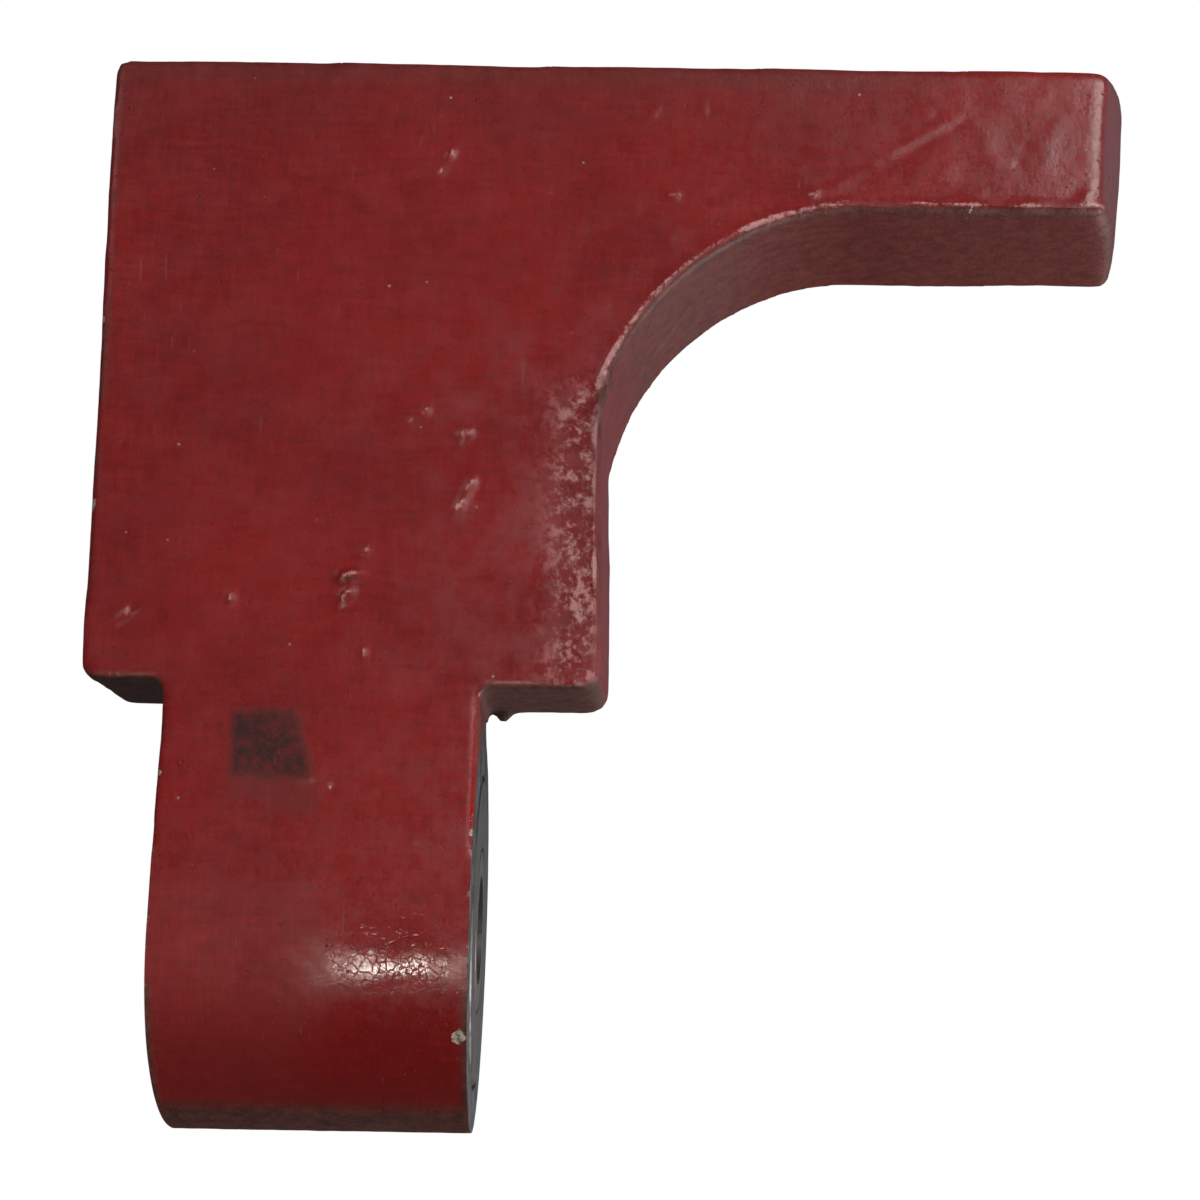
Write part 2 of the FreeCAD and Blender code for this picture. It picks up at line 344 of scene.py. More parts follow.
def edge_distance(x, z):
    """How far a point of the front face lies inside the lower edge of the arm and the throat."""
    hx, hz = upright(x, z)
    reach = np.hypot(hx - FRONT_FACE["throat_x"], hz - FRONT_FACE["throat_z"])
    throat = reach - FRONT_FACE["throat_radius"]
    above = hz - FRONT_FACE["under_z"]
    side = FRONT_FACE["side_x"] - hx
    inside = np.where(hx > FRONT_FACE["throat_x"], above, throat)
    return np.where(hz < FRONT_FACE["throat_z"] + 8, side, inside)


def bead_shape(points):
    """The uneven bead of paint along the edge of the throat and the arm."""
    x, _, z = points.T
    profile = np.exp(-(((edge_distance(x, z) - BEAD_INSET) / BEAD_WIDTH) ** 2))
    return profile * (0.7 + 0.6 * noise_at(points, 2.6, 7.0)) * smooth_step(z, 22, 30)


def band_shape(x, z, top):
    """1 along the middle of the pitted band, falling to 0 beside it and over its top."""
    return np.exp(-(((x - BAND_X) / BAND_WIDTH) ** 2)) * smooth_step(top - z, 0, 4)


def surface_height(points, normals):
    """How far each point of the casting stands out along its normal: cast waviness, paint and marks."""
    x, y, z = points.T
    # Waviness in three sizes, the larger two weaker on the barrel
    height = 0.12 * noise_at(points, 13.0) * at_least(0.2, smooth_step(z, 4, 16))
    height += 0.045 * noise_at(points, 3.6, 40.0) * at_least(0.5, smooth_step(z, 0, 8))
    height += 0.022 * noise_at(points, 1.3, 80.0)
    # Uneven side faces, and a rough cast surface where the head faces down
    sideways = smooth_step(np.abs(normals[:, 0]), 0.4, 0.8) * smooth_step(z, 18, 24)
    height += 0.12 * sideways * noise_at(points, 6.0, 200.0)
    downwards = smooth_step(-normals[:, 2], 0.5, 0.9) * smooth_step(z, 10, 20)
    height += 0.05 * downwards * noise_at(points, 1.7, 120.0)
    # What lies on the front only: marks, the bead, and the pitted band, where the face falls away
    front = smooth_step(-y, 17.4, 18.3)
    for mark in MARKS:
        height += front * mark[-1] * mark_shape(x, z, mark)
    height += front * BEAD_HEIGHT * bead_shape(points)
    height += front * BAND_RELIEF * band_shape(x, z, BAND_TOP) * noise_at(points, 0.9, 160.0)
    falling = smooth_step(x, 18.5, 26.0) * smooth_step(BAND_TOP - z, 0, 6) * smooth_step(z, 20, 24)
    height -= front * BAND_FALL * falling
    return height


def cast_surface(obj):
    """Moves every vertex by the surface height, crowns the tip and pulls the drip down."""
    mesh = obj.data
    points = vertex_rows(mesh, "co").astype(float) / MM
    normals = vertex_rows(mesh, "normal")
    moved = points + normals * surface_height(points, normals)[:, None]
    thickness = BACK_Y - FRONT_Y
    behind_front = points[:, 1] - FRONT_Y
    slant = (BACK_FACE["tip_top"] - FRONT_FACE["tip_top"]) / thickness
    towards_tip = smooth_step(points[:, 0] - slant * behind_front, 67.0, 72.0)
    depth = np.clip(behind_front / thickness, 0, 1)
    moved[:, 0] += TIP_CROWN * towards_tip * np.sin(math.pi * depth**0.6)
    reach = np.linalg.norm((points - np.array(DRIP_PLACE)) * (1.0, 0.8, 1.0), axis=1)
    moved[:, 2] -= DRIP_LENGTH * np.exp(-((reach / DRIP_RADIUS) ** 2))
    mesh.vertices.foreach_set("co", (moved * MM).astype(np.float32).ravel())
    mesh.update()


def make_casting():
    """The painted casting: one skin over the head and the tongue, its surface, and then the machining."""
    casting = object_from("painted_casting", add_head, add_tongue)
    remesh = casting.modifiers.new("one skin", "REMESH")
    remesh.mode = "VOXEL"
    remesh.voxel_size = VOXEL * MM
    soften = casting.modifiers.new("soft edges", "SMOOTH")
    soften.factor = 0.5
    soften.iterations = SMOOTH_ROUNDS
    apply_modifiers(casting)
    cast_surface(casting)
    cutter = object_from("barrel_cutter", add_cutter)
    cut = casting.modifiers.new("machining", "BOOLEAN")
    cut.operation = "DIFFERENCE"
    cut.solver = "MANIFOLD"
    cut.object = cutter
    apply_modifiers(casting)
    bpy.data.objects.remove(cutter)
    casting.data.shade_smooth()
    casting.data.set_sharp_from_angle(angle=SHARP_ANGLE)
    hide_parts("dog_casting")
    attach(casting, "dog")
    return casting


# ---------------------------------------------------------------- materials


class Shader:
    """A material's node tree, with one short call for each kind of node that repeats."""

    def __init__(self, name):
        self.material = bpy.data.materials.new(name)
        self.material.use_nodes = True
        self.tree = self.material.node_tree
        self.bsdf = self.tree.nodes["Principled BSDF"]
        coordinates = self.add("ShaderNodeTexCoord").outputs["Object"]
        scaled = self.add("ShaderNodeVectorMath", operation="SCALE", Vector=coordinates, Scale=1 / MM)
        self.position = scaled.outputs["Vector"]
        self.bump_normal = None

    def add(self, kind, **settings):
        """Adds a node. Each setting is a value of its own, or the value or link of an input."""
        made = self.tree.nodes.new(kind)
        for key, value in settings.items():
            if hasattr(made, key):
                setattr(made, key, value)
        for key, value in settings.items():
            if not hasattr(made, key):
                self.put(made.inputs[key], value)
        return made

    def put(self, socket, value):
        if isinstance(value, bpy.types.NodeSocket):
            self.tree.links.new(value, socket)
        else:
            socket.default_value = value

    def math(self, operation, a, b=0.0):
        made = self.add("ShaderNodeMath", operation=operation)
        self.put(made.inputs[0], a)
        self.put(made.inputs[1], b)
        return made.outputs[0]

    def times(self, a, b):
        return self.math("MULTIPLY", a, b)

    def ramp(self, value, low, high):
        """0 below low, 1 above high, smooth in between. Low may be above high."""
        made = self.add("ShaderNodeMapRange", interpolation_type="SMOOTHSTEP", Value=value)
        made.inputs["From Min"].default_value = low
        made.inputs["From Max"].default_value = high
        return made.outputs["Result"]

    def mix(self, share, a, b):
        made = self.add("ShaderNodeMix", data_type="RGBA")
        self.put(made.inputs["Factor"], share)
        for socket, value in ((made.inputs[6], a), (made.inputs[7], b)):
            self.put(socket, (*value, 1.0) if isinstance(value, tuple) else value)
        return made.outputs[2]

    def blend(self, share, a, b):
        """A number that goes from a to b."""
        made = self.add("ShaderNodeMix", data_type="FLOAT")
        self.put(made.inputs["Factor"], share)
        self.put(made.inputs[2], a)
        self.put(made.inputs[3], b)
        return made.outputs[0]

    def stretched(self, x, y, z, offset=0.0):
        """The position, scaled along each axis and moved."""
        moved = (offset, offset, offset)
        made = self.add("ShaderNodeMapping", Vector=self.position, Scale=(x, y, z), Location=moved)
        return made.outputs["Vector"]

    def place(self):
        """The point's x and z, and its distance from the middle of the bore."""
        axes = self.add("ShaderNodeSeparateXYZ", Vector=self.position).outputs
        squares = [self.math("POWER", axes[name], 2.0) for name in ("Y", "Z")]
        return axes["X"], axes["Z"], self.math("SQRT", self.math("ADD", *squares))

    def noise(self, size, detail=2.0, rough=0.5, vector=None):
        at = vector or self.position
        made = self.add("ShaderNodeTexNoise", Scale=1 / size, Detail=detail, Roughness=rough, Vector=at)
        return made.outputs["Fac"]

    def attribute(self, name):
        return self.add("ShaderNodeAttribute", attribute_name=name).outputs["Fac"]

    def bump(self, height, depth):
        """Adds a layer of relief: the height goes from 0 to 1, and the depth is in millimetres."""
        made = self.add("ShaderNodeBump", Height=height, Distance=depth * MM)
        if self.bump_normal:
            self.put(made.inputs["Normal"], self.bump_normal)
        self.bump_normal = made.outputs["Normal"]

    def finish(self, colour, roughness, metallic=0.0, **uniform):
        self.put(self.bsdf.inputs["Base Color"], colour)
        self.put(self.bsdf.inputs["Roughness"], roughness)
        self.put(self.bsdf.inputs["Metallic"], metallic)
        for name, value in uniform.items():
            self.bsdf.inputs[name.replace("_", " ")].default_value = value
        if self.bump_normal:
            self.put(self.bsdf.inputs["Normal"], self.bump_normal)
        return self.material


# Colours of the enamel, of what lies on it, of what shows where it is gone, and of the painted shade, sheen,
# highlights and reflection
ENAMEL = dict(
    red_dark=(0.275, 0.0105, 0.0100),
    red_light=(0.345, 0.0125, 0.0115),
    brush_light=(0.410, 0.024, 0.024),
    brush_dark=(0.180, 0.007, 0.007),
    # Painted shade: darker, deeper red towards the bottom of the barrel
    painted_barrel_shade=(0.215, 0.0055, 0.0045),
    # Painted sheen: a pinkish haze
    painted_sheen=(0.350, 0.090, 0.095),
    mottle=(0.170, 0.007, 0.007),
    # Painted highlight: pale pink
    painted_pale_highlight=(0.85, 0.44, 0.42),
    # Painted reflection: a mauve-grey
    painted_reflection=(0.205, 0.088, 0.102),
    # Painted shade: a dark and a lighter brown-red
    shade_colour_dark=(0.045, 0.020, 0.013),
    shade_colour_light=(0.170, 0.060, 0.047),
    stain=(0.045, 0.010, 0.008),
    chip_dark=(0.15, 0.10, 0.08),
    chip_light=(0.68, 0.60, 0.50),
    speck=(0.52, 0.38, 0.33),
    scratch=(0.40, 0.15, 0.14),
    iron_dark=(0.085, 0.090, 0.100),
    iron_light=(0.28, 0.295, 0.31),
    tool_mark=(0.38, 0.39, 0.40),
    rust=(0.10, 0.055, 0.035),
)

# Turned metals: colours of the dark and light rings and of the tarnish, and the roughness of the rings and
# of the tarnished patches
METALS = dict(
    bush_bronze=dict(
        dark=(0.30, 0.16, 0.06),
        light=(0.50, 0.30, 0.13),
        tarnish=(0.11, 0.065, 0.035),
        smooth=0.36,
        rough=0.58,
    ),
    sleeve_steel=dict(
        dark=(0.26, 0.26, 0.26),
        light=(0.42, 0.42, 0.41),
        tarnish=(0.12, 0.09, 0.07),
        smooth=0.36,
        rough=0.56,
    ),
    washer_steel=dict(
        dark=(0.17, 0.17, 0.175),
        light=(0.31, 0.31, 0.31),
        tarnish=(0.10, 0.075, 0.06),
        smooth=0.42,
        rough=0.62,
    ),
)
METAL_OF_NODE = dict(
    bush_left="bush_bronze",
    bush_right="bush_bronze",
    pivot_sleeve="sleeve_steel",
    washer_left="washer_steel",
    washer_right="washer_steel",
)


def red_enamel_and_painted_light(s, z):
    """The enamel's colour, with its brush marks and mottling, and with painted shade towards the bottom of
    the barrel, a painted sheen, painted highlights and a painted reflection.
    """
    c = ENAMEL
    colour = s.mix(s.ramp(s.noise(16.0, 3.0), 0.35, 0.65), c["red_dark"], c["red_light"])
    level_brush = s.noise(1.0, 4.0, 0.65, s.stretched(0.30, 1.0, 2.2))
    upright_brush = s.noise(1.0, 4.0, 0.65, s.stretched(2.6, 1.0, 0.35, 4.0))
    brushed = s.math("ADD", level_brush, upright_brush)
    colour = s.mix(s.times(s.ramp(brushed, 1.00, 1.22), 0.45), colour, c["brush_light"])
    colour = s.mix(s.times(s.ramp(brushed, 1.00, 0.80), 0.48), colour, c["brush_dark"])
    # Painted shade: darker, deeper red towards the bottom of the barrel
    colour = s.mix(s.times(s.ramp(z, 3.0, -12.0), 0.55), colour, c["painted_barrel_shade"])
    # Painted sheen: a pinkish haze over the head, more on its lower right
    painted_sheen = s.times(s.attribute("painted_sheen"), s.ramp(s.noise(4.0, 7.0, 0.72), 0.36, 0.68))
    colour = s.mix(painted_sheen, colour, c["painted_sheen"])
    mottle = s.ramp(s.noise(0.9, 5.0, 0.75), 0.50, 0.72)
    colour = s.mix(s.times(mottle, 0.35), colour, c["mottle"])
    # Painted highlights: pale pink on the pitted band, on the tops of the lumps and along the bead
    band_highlight = s.times(s.attribute("pitted"), s.ramp(s.noise(1.2, 7.0, 0.76), 0.50, 0.60))
    broken = s.times(s.noise(0.5, 5.0, 0.8), 1.3)
    painted_highlight = s.ramp(s.math("ADD", s.attribute("painted_highlight"), broken), 1.20, 1.48)
    painted_pale_highlight = s.math("MAXIMUM", s.times(band_highlight, 0.80), s.times(painted_highlight, 0.85))
    colour = s.mix(painted_pale_highlight, colour, c["painted_pale_highlight"])
    # Painted reflection: a mauve-grey on the tip and on the faces that look to the right
    painted_reflection = s.times(s.attribute("painted_reflection"), s.blend(s.noise(2.5, 4.0, 0.6), 0.75, 1.0))
    return s.mix(painted_reflection, colour, c["painted_reflection"])


def shaded_and_stained(s, colour, painted_shade, stain):
    """The colour under the painted shade and the old stain."""
    c = ENAMEL
    # Painted shade: a mottled dark brown-red
    shade_colour = s.mix(s.ramp(s.noise(1.3, 6.0, 0.75), 0.3, 0.7), c["shade_colour_dark"], c["shade_colour_light"])
    colour = s.mix(painted_shade, colour, shade_colour)
    mottled = s.ramp(s.noise(0.8, 6.0, 0.78), 0.42, 0.60)
    return s.mix(s.times(stain, s.blend(mottled, 1.0, 0.52)), colour, c["stain"])


def nicked(s, colour):
    """The colour with chips, scattered specks and fine slanted scratches."""
    c = ENAMEL
    ragged = s.math("ADD", s.attribute("chip"), s.times(s.noise(0.7, 4.0, 0.7), 0.9))
    chip_share = s.ramp(ragged, 0.98, 1.05)
    bared = s.mix(s.ramp(s.noise(0.35, 4.0, 0.8), 0.40, 0.60), c["chip_dark"], c["chip_light"])
    colour = s.mix(chip_share, colour, bared)
    cells = s.add("ShaderNodeTexVoronoi", Vector=s.position, Scale=1 / 4.5, Randomness=1.0)
    in_dot = s.ramp(cells.outputs["Distance"], 0.035, 0.020)
    speck = s.times(in_dot, s.math("GREATER_THAN", cells.outputs["Color"], 0.62))
    colour = s.mix(speck, colour, c["speck"])
    slanted = s.add("ShaderNodeMapping", Vector=s.position, Rotation=(0.0, 0.9, 0.0), Scale=(2.8, 1.0, 0.25))
    lines = s.ramp(s.noise(1.0, 1.0, 0.5, slanted.outputs["Vector"]), 0.72, 0.75)
    patch = s.ramp(s.noise(7.0, 2.0, 0.5, s.stretched(1.0, 1.0, 1.0, 9.0)), 0.52, 0.62)
    return s.mix(s.times(s.times(lines, patch), 0.30), colour, c["scratch"])


def machined_share(s, x, radius):
    """1 on the faced sides and in the spot-faces and the bore, with a ragged edge to the paint."""
    creep = s.times(s.ramp(s.noise(1.4, 4.0, 0.7), 0.60, 0.80), 0.7)
    paint_edge = s.math("SUBTRACT", FACED_HALF - 0.03, creep)
    on_side = s.math("GREATER_THAN", s.math("ABSOLUTE", x), paint_edge)
    facing_edge = s.math("ADD", s.times(s.noise(2.0, 3.0), 0.8), FACED_RADIUS - 0.5)
    in_facing = s.math("LESS_THAN", radius, facing_edge)
    in_spot_face = s.math("LESS_THAN", radius, SPOT_FACE_RADIUS + 0.02)
    return s.math("MAXIMUM", s.times(on_side, in_facing), in_spot_face)


def bare_iron(s, tool_marks):
    """The colour of the machined iron: cloudy grey with tool marks and some rust."""
    c = ENAMEL
    iron = s.mix(s.ramp(s.noise(2.8, 5.0, 0.6), 0.32, 0.72), c["iron_dark"], c["iron_light"])
    iron = s.mix(s.times(s.ramp(tool_marks, 0.5, 0.7), 0.5), iron, c["tool_mark"])
    return s.mix(s.ramp(s.noise(5.0, 4.0, 0.7), 0.60, 0.72), iron, c["rust"])


def paint_roughness(s, x, z, dull):
    """Glossier in the crazed patch, and duller on the barrel's left, under the painted shade and on the
    stain.
    """
    gloss = s.blend(s.ramp(s.noise(1.2, 5.0, 0.7), 0.35, 0.7), 0.22, 0.38)
    barrel_left = s.times(s.ramp(x, 4.0, -4.0), s.ramp(z, 6.0, 0.0))
    gloss = s.math("ADD", gloss, s.times(barrel_left, 0.34))
    gloss = s.blend(s.attribute("crazed"), gloss, 0.15)
    return s.blend(dull, gloss, 0.66)


def enamel_relief(s, dull):
    """Fine relief: orange peel in two sizes, pinholes, the pitted band, fine cracks, and a rough grain under
    the painted shade and on the stain.
    """
    s.bump(s.noise(1.4, 3.0, 0.55), 0.035)
    s.bump(s.noise(0.45, 3.0, 0.65), 0.018)
    pinholes = s.ramp(s.noise(0.7, 3.0, 0.7, s.stretched(1.0, 1.0, 1.0, 21.0)), 0.64, 0.74)
    s.bump(s.times(pinholes, -1.0), 0.06)
    s.bump(s.times(s.attribute("pitted"), s.noise(0.8, 5.0, 0.75)), 0.42)
    warp = s.add("ShaderNodeTexNoise", Scale=0.9, Detail=3.0, Vector=s.position).outputs["Color"]
    warped = s.add("ShaderNodeVectorMath", operation="ADD", Vector=s.position)
    s.put(warped.inputs[1], warp)
    warped = warped.outputs["Vector"]
    plates = s.add("ShaderNodeTexVoronoi", feature="DISTANCE_TO_EDGE", Vector=warped, Scale=1.1)
    cracks = s.ramp(plates.outputs["Distance"], 0.07, 0.0)
    s.bump(s.times(s.times(cracks, s.attribute("crazed")), -1.0), 0.022)
    s.bump(s.times(dull, s.noise(0.45, 4.0, 0.7)), 0.10)


def enamel_material():
    s = Shader("red_enamel_on_cast_iron")
    x, z, radius = s.place()
    # The mask of painted shade, which also dulls the paint
    painted_shade = s.attribute("painted_shade")
    stain = s.attribute("stain")
    painted = nicked(s, shaded_and_stained(s, red_enamel_and_painted_light(s, z), painted_shade, stain))
    bare = machined_share(s, x, radius)
    tool_marks = s.noise(0.35, 2.0, 0.5, s.stretched(0.2, 2.0, 0.5))
    colour = s.mix(bare, painted, bare_iron(s, tool_marks))
    dull = s.math("MAXIMUM", s.times(painted_shade, 0.8), stain)
    roughness = s.blend(bare, paint_roughness(s, x, z, dull), s.blend(tool_marks, 0.48, 0.64))
    enamel_relief(s, dull)
    return s.finish(colour, roughness, bare)


def turned_metal(name, dark, light, tarnish, smooth, rough):
    """Lathe-turned metal: rings about the bore, fine scratches, tarnish and grease in patches."""
    s = Shader(name)
    x, _, radius = s.place()
    ring_place = s.add("ShaderNodeCombineXYZ", X=radius, Y=x, Z=0.0).outputs["Vector"]
    rings = s.noise(0.22, 3.0, 0.6, ring_place)
    patches = s.noise(3.2, 5.0, 0.65)
    colour = s.mix(rings, dark, light)
    colour = s.mix(s.times(s.ramp(patches, 0.48, 0.68), 0.75), colour, tarnish)
    roughness = s.blend(s.ramp(patches, 0.4, 0.7), s.blend(rings, smooth, smooth + 0.12), rough)
    s.bump(rings, 0.012)
    s.bump(s.noise(0.5, 3.0, 0.6), 0.004)
    return s.finish(colour, roughness, 1.0)


# ---------------------------------------------------------------- where the paint is what, and where light and shade are painted


def painted_shade_at(points, normals, front):
    """Painted shade on faces that look down, beside the tongue, in patches on the left, under the barrel,
    along the top and by the throat.
    """
    x, y, z = points.T
    facing_down = -normals[:, 2]
    _, head_z = upright(x, z)
    # Each term is painted shade: faces that look down, the tongue's sides, patches on the left, the
    # underside of the barrel, the top of the head and a line along the lower edge of the arm and the throat
    under = smooth_step(facing_down, 0.2, 0.6) * at_least(0.65, smooth_step(60 - z, 0, 30))
    under *= smooth_step(z, 5, 18)
    beside = 0.75 * smooth_step(np.abs(x), 13.0, 13.6) * smooth_step(22 - z, 0, 1) * smooth_step(z, -25, -20)
    left_shade = 0.5 * smooth_step(-x, 20.4, 21.4) * smooth_step(noise_at(points, 4.0, 60.0), -0.1, 0.4)
    barrel_low = 0.9 * smooth_step(-z, 14.5, 16.5) * smooth_step(facing_down, 0.5, 0.8)
    rim_share = 0.12 * smooth_step(head_z, 71, 77) + 0.28 * smooth_step(head_z, 77.6, 79.8)
    top_rim = rim_share * (1 - smooth_step(x, 45, 68))
    at_edge = smooth_step(0.45 - edge_distance(x, z), 0, 0.35)
    edge_line = 0.85 * at_edge * smooth_step(z, 24, 30) * smooth_step(-y, 17, 18)
    return np.maximum.reduce([under, beside * (1 - front), left_shade, barrel_low, top_rim, edge_line])


def painted_reflection_at(points, normals):
    """A painted reflection on the tip and on the faces that look to the right."""
    x, _, z = points.T
    facing_right = normals[:, 0]
    tip = smooth_step(facing_right, 0.35, 0.7) * smooth_step(x, 66, 70)
    flank = 0.52 * smooth_step(facing_right, 0.25, 0.55) * smooth_step(z, 20, 24)
    return np.maximum(tip, flank) * (1 - smooth_step(-normals[:, 2], 0.85, 0.95))


def painted_sheen_at(points):
    """A painted sheen, more on the right and the lower half of the head."""
    x, _, z = points.T
    everywhere = 0.14 * smooth_step(z, -8, 0)
    lower_right = 0.36 * smooth_step(x, 0, 18) * smooth_step(62 - z, 0, 15) * smooth_step(z, -6, 4)
    return everywhere + lower_right


def stain_at(points):
    """The dark patch on the tongue, with straight sides and a fainter tail at its lower right."""
    x, _, z = points.T
    wobble = 0.5 * noise_at(points, 1.6, 30.0)
    left = smooth_step(x + wobble * 0.5, -7.9, -7.2)
    right = smooth_step(-x + 0.30 * (19 - z) + wobble, 1.5, 2.6)
    top = smooth_step(19.3 - z + wobble * 0.5, 0, 0.9)
    tail = 0.35 * smooth_step(z + 0.30 * x + wobble, 8.5, 10.5)
    body = 0.65 * smooth_step(z + wobble, 12.6, 13.6)
    return left * right * top * (tail + body)


def chip_at(points):
    """1 in the middle of each chip, falling to 0 around it."""
    x, y, z = points.T
    spots = [np.exp(-(np.hypot(x - chip_x, z - chip_z) / radius) ** 2) for chip_x, chip_z, radius in CHIPS]
    return np.maximum.reduce(spots) * smooth_step(-y, 15.5, 16.5)


def crazed_at(points):
    """The patch of fine cracks on the right of the barrel."""
    x, _, z = points.T
    across = smooth_step(x, 0, 7) * smooth_step(13.5 - x, 0, 5)
    return across * smooth_step(3 - z, 0, 5) * smooth_step(z, -8, -4)


def painted_highlight_at(points):
    """Painted highlights on the tops of the lumps and along the bead."""
    x, _, z = points.T
    lumps = np.maximum.reduce([mark_shape(x, z, mark) for mark in MARKS if mark[-1] > 0.25])
    return np.clip(np.maximum(0.85 * lumps, bead_shape(points)), 0, 1)


def paint_attributes(obj):
    """Stores each layer of the paint's state, and of the painted shade, sheen, highlights and reflection, as
    a share from 0 to 1 at every vertex.
    """
    mesh = obj.data
    points = vertex_rows(mesh, "co").astype(float) / MM
    normals = vertex_rows(mesh, "normal")
    x, y, z = points.T
    front = smooth_step(-y, 17.8, 18.5)
    layers = dict(
        # Painted shade
        painted_shade=painted_shade_at(points, normals, front),
        # Painted reflection
        painted_reflection=painted_reflection_at(points, normals),
        stain=front * stain_at(points),
        chip=chip_at(points),
        pitted=front * band_shape(x, z, BAND_TOP + 1) * smooth_step(z, 20, 23),
        crazed=front * crazed_at(points),
        # Painted sheen
        painted_sheen=painted_sheen_at(points),
        # Painted highlights
        painted_highlight=front * painted_highlight_at(points),
    )
    for name, values in layers.items():
        mesh.attributes.new(name, "FLOAT", "POINT").data.foreach_set("value", values.astype(np.float32))


def assign(obj, material):
    obj.data.materials.clear()
    obj.data.materials.append(material)


# ---------------------------------------------------------------- stage, light and camera

CAMERA_PLACE = (21.2, -163.8, 2.0)
CAMERA_RIGHT_TURN = math.radians(1.30)
CAMERA_TILT_UP = math.radians(10.70)
CAMERA_ROLL = math.radians(1.17)
CAMERA_LENS = 49.5
FLOOR_Z = -100.0
FLOOR_RADIUS = 420.0

# Soft lights: azimuth, elevation, distance, width, height, power, colour. All are aimed at one point
LIGHT_TARGET = Vector((20, -10, 40))
SOFT_LIGHTS = dict(
    key=(44, 23, 380, 170, 170, 0.57, (1.0, 0.97, 0.95)),
    back=(195, 30, 600, 340, 300, 0.55, (0.97, 0.98, 1.0)),
    sheen=(30, 2, 600, 240, 240, 0.24, (1.0, 0.88, 0.88)),
    low_side=(105, -30, 320, 150, 150, 0.58, (1.0, 0.93, 0.92)),
    fill=(-48, 30, 800, 300, 300, 0.30, (0.95, 0.97, 1.0)),
)

# The small lamp whose reflection glints on the barrel
GLINT_TARGET = Vector((6.6, FRONT_Y, -3.0))
GLINT_DISTANCE = 200
GLINT_POWER = 0.28

# How brightly the room lights the object, from the dim side to the side of the camera
ROOM_DIM = 0.07
ROOM_BRIGHT = 0.22


def aim(obj, place, target):
    obj.location = Vector(place) * MM
    obj.rotation_mode = "QUATERNION"
    obj.rotation_quaternion = (Vector(target) - Vector(place)).to_track_quat("-Z", "Y")


def direction(azimuth, elevation):
    """A unit vector. Azimuth 0 is -Y, where the camera stands, and it grows to the right."""
    a, e = math.radians(azimuth), math.radians(elevation)
    return Vector((math.sin(a) * math.cos(e), -math.cos(a) * math.cos(e), math.sin(e)))


def soft_light(name, azimuth, elevation, distance, width, height, power, colour):
    data = bpy.data.lights.new(name, "AREA")
    data.shape = "RECTANGLE"
    data.size = width * MM
    data.size_y = height * MM
    data.energy = power
    data.color = colour
    lamp = bpy.data.objects.new(name, data)
    bpy.context.scene.collection.objects.link(lamp)
    aim(lamp, LIGHT_TARGET + direction(azimuth, elevation) * distance, LIGHT_TARGET)
    lamp.visible_camera = False


def make_lights():
    for name, settings in SOFT_LIGHTS.items():
        soft_light(name, *settings)
    glint = bpy.data.lights.new("glint", "SPOT")
    glint.energy = GLINT_POWER
    glint.shadow_soft_size = 0.006
    glint.spot_size = math.radians(75)
    glint.spot_blend = 0.8
    glint.color = (1.0, 0.95, 0.84)
    lamp = bpy.data.objects.new("glint", glint)
    bpy.context.scene.collection.objects.link(lamp)
    aim(lamp, GLINT_TARGET + direction(-5.8, -20.5) * GLINT_DISTANCE, GLINT_TARGET)
    lamp.visible_camera = False


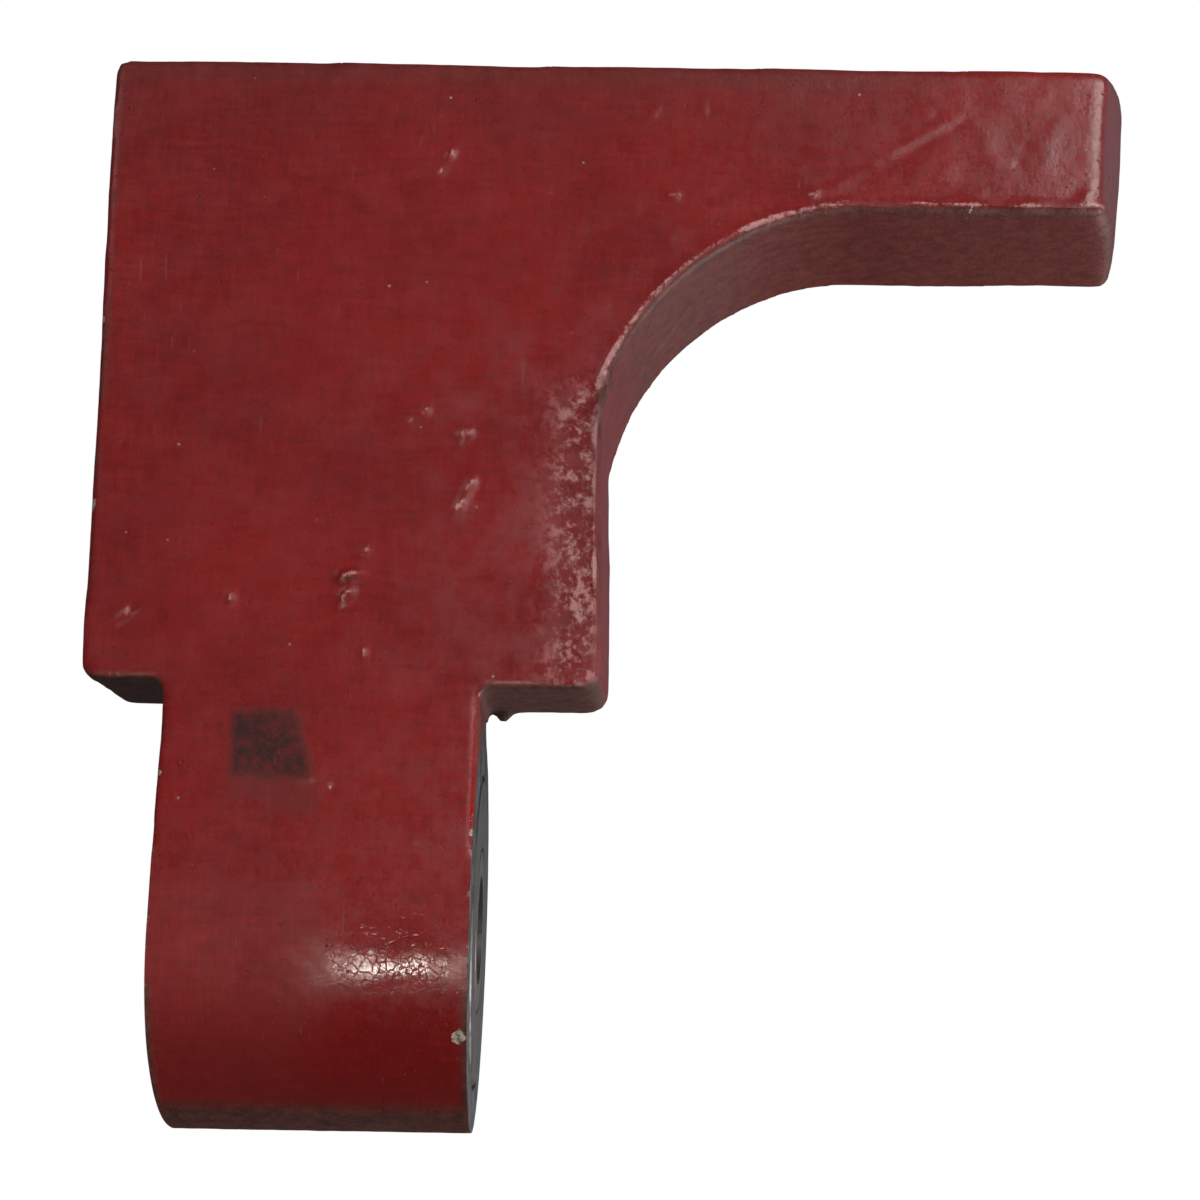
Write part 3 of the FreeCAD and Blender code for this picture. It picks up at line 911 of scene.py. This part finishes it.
def make_world():
    """Plain white to the eye, and to the object a dim room that is brightest where the camera stands."""
    world = bpy.data.worlds.new("studio")
    bpy.context.scene.world = world
    world.use_nodes = True
    tree = world.node_tree
    light = tree.nodes["Background"]
    place = tree.nodes.new("ShaderNodeTexCoord")
    towards = tree.nodes.new("ShaderNodeVectorMath")
    towards.operation = "DOT_PRODUCT"
    towards.inputs[1].default_value = (0.1, -0.94, 0.32)
    tree.links.new(place.outputs["Generated"], towards.inputs[0])
    strength = tree.nodes.new("ShaderNodeMapRange")
    strength.inputs["From Min"].default_value = 0.5
    strength.inputs["To Min"].default_value = ROOM_DIM
    strength.inputs["To Max"].default_value = ROOM_BRIGHT
    tree.links.new(towards.outputs["Value"], strength.inputs["Value"])
    tree.links.new(strength.outputs["Result"], light.inputs["Strength"])
    light.inputs["Color"].default_value = (1.0, 0.98, 1.0, 1.0)
    backdrop = tree.nodes.new("ShaderNodeBackground")
    backdrop.inputs["Color"].default_value = (1.0, 1.0, 1.0, 1.0)
    rays = tree.nodes.new("ShaderNodeLightPath")
    choose = tree.nodes.new("ShaderNodeMixShader")
    tree.links.new(rays.outputs["Is Camera Ray"], choose.inputs["Fac"])
    tree.links.new(light.outputs["Background"], choose.inputs[1])
    tree.links.new(backdrop.outputs["Background"], choose.inputs[2])
    tree.links.new(choose.outputs["Shader"], tree.nodes["World Output"].inputs["Surface"])


def make_floor():
    """A plain pale floor under the swing of the head, fading out at its rim."""
    mesh = bpy.data.meshes.new("floor")
    bm = bmesh.new()
    bmesh.ops.create_circle(bm, cap_ends=True, radius=FLOOR_RADIUS * MM, segments=96)
    bm.to_mesh(mesh)
    bm.free()
    floor = bpy.data.objects.new("floor", mesh)
    bpy.context.scene.collection.objects.link(floor)
    floor.location = (0, 0, FLOOR_Z * MM)
    s = Shader("pale_floor")
    from_middle = s.add("ShaderNodeVectorMath", operation="LENGTH", Vector=s.position).outputs["Value"]
    shade = s.noise(60.0, 3.0)
    alpha = s.ramp(from_middle, FLOOR_RADIUS, FLOOR_RADIUS * 0.55)
    s.put(s.bsdf.inputs["Alpha"], alpha)
    pale = s.mix(shade, (0.80, 0.80, 0.81), (0.84, 0.84, 0.84))
    s.put(s.bsdf.inputs["Emission Color"], pale)
    assign(floor, s.finish(pale, 0.7, Emission_Strength=0.55))
    floor.visible_glossy = False
    floor.visible_diffuse = False
    floor.visible_shadow = False


def make_camera():
    data = bpy.data.cameras.new("camera")
    data.sensor_width = 36.0
    data.lens = CAMERA_LENS
    data.clip_start = 0.01
    camera = bpy.data.objects.new("camera", data)
    bpy.context.scene.collection.objects.link(camera)
    turn = Matrix.Rotation(-CAMERA_RIGHT_TURN, 4, "Z")
    tilt = Matrix.Rotation(math.pi / 2 + CAMERA_TILT_UP, 4, "X")
    roll = Matrix.Rotation(CAMERA_ROLL, 4, "Z")
    camera.matrix_world = Matrix.Translation(Vector(CAMERA_PLACE) * MM) @ turn @ tilt @ roll
    bpy.context.scene.camera = camera


def corners(box):
    return [list(corner) for corner in box]


casting = make_casting()
paint_attributes(casting)
assign(casting, enamel_material())

metals = {name: turned_metal(name, **look) for name, look in METALS.items()}
for node, metal in METAL_OF_NODE.items():
    assign(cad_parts[node], metals[metal])

make_floor()
make_world()
make_lights()
make_camera()
bpy.context.scene.view_settings.view_transform = "Standard"
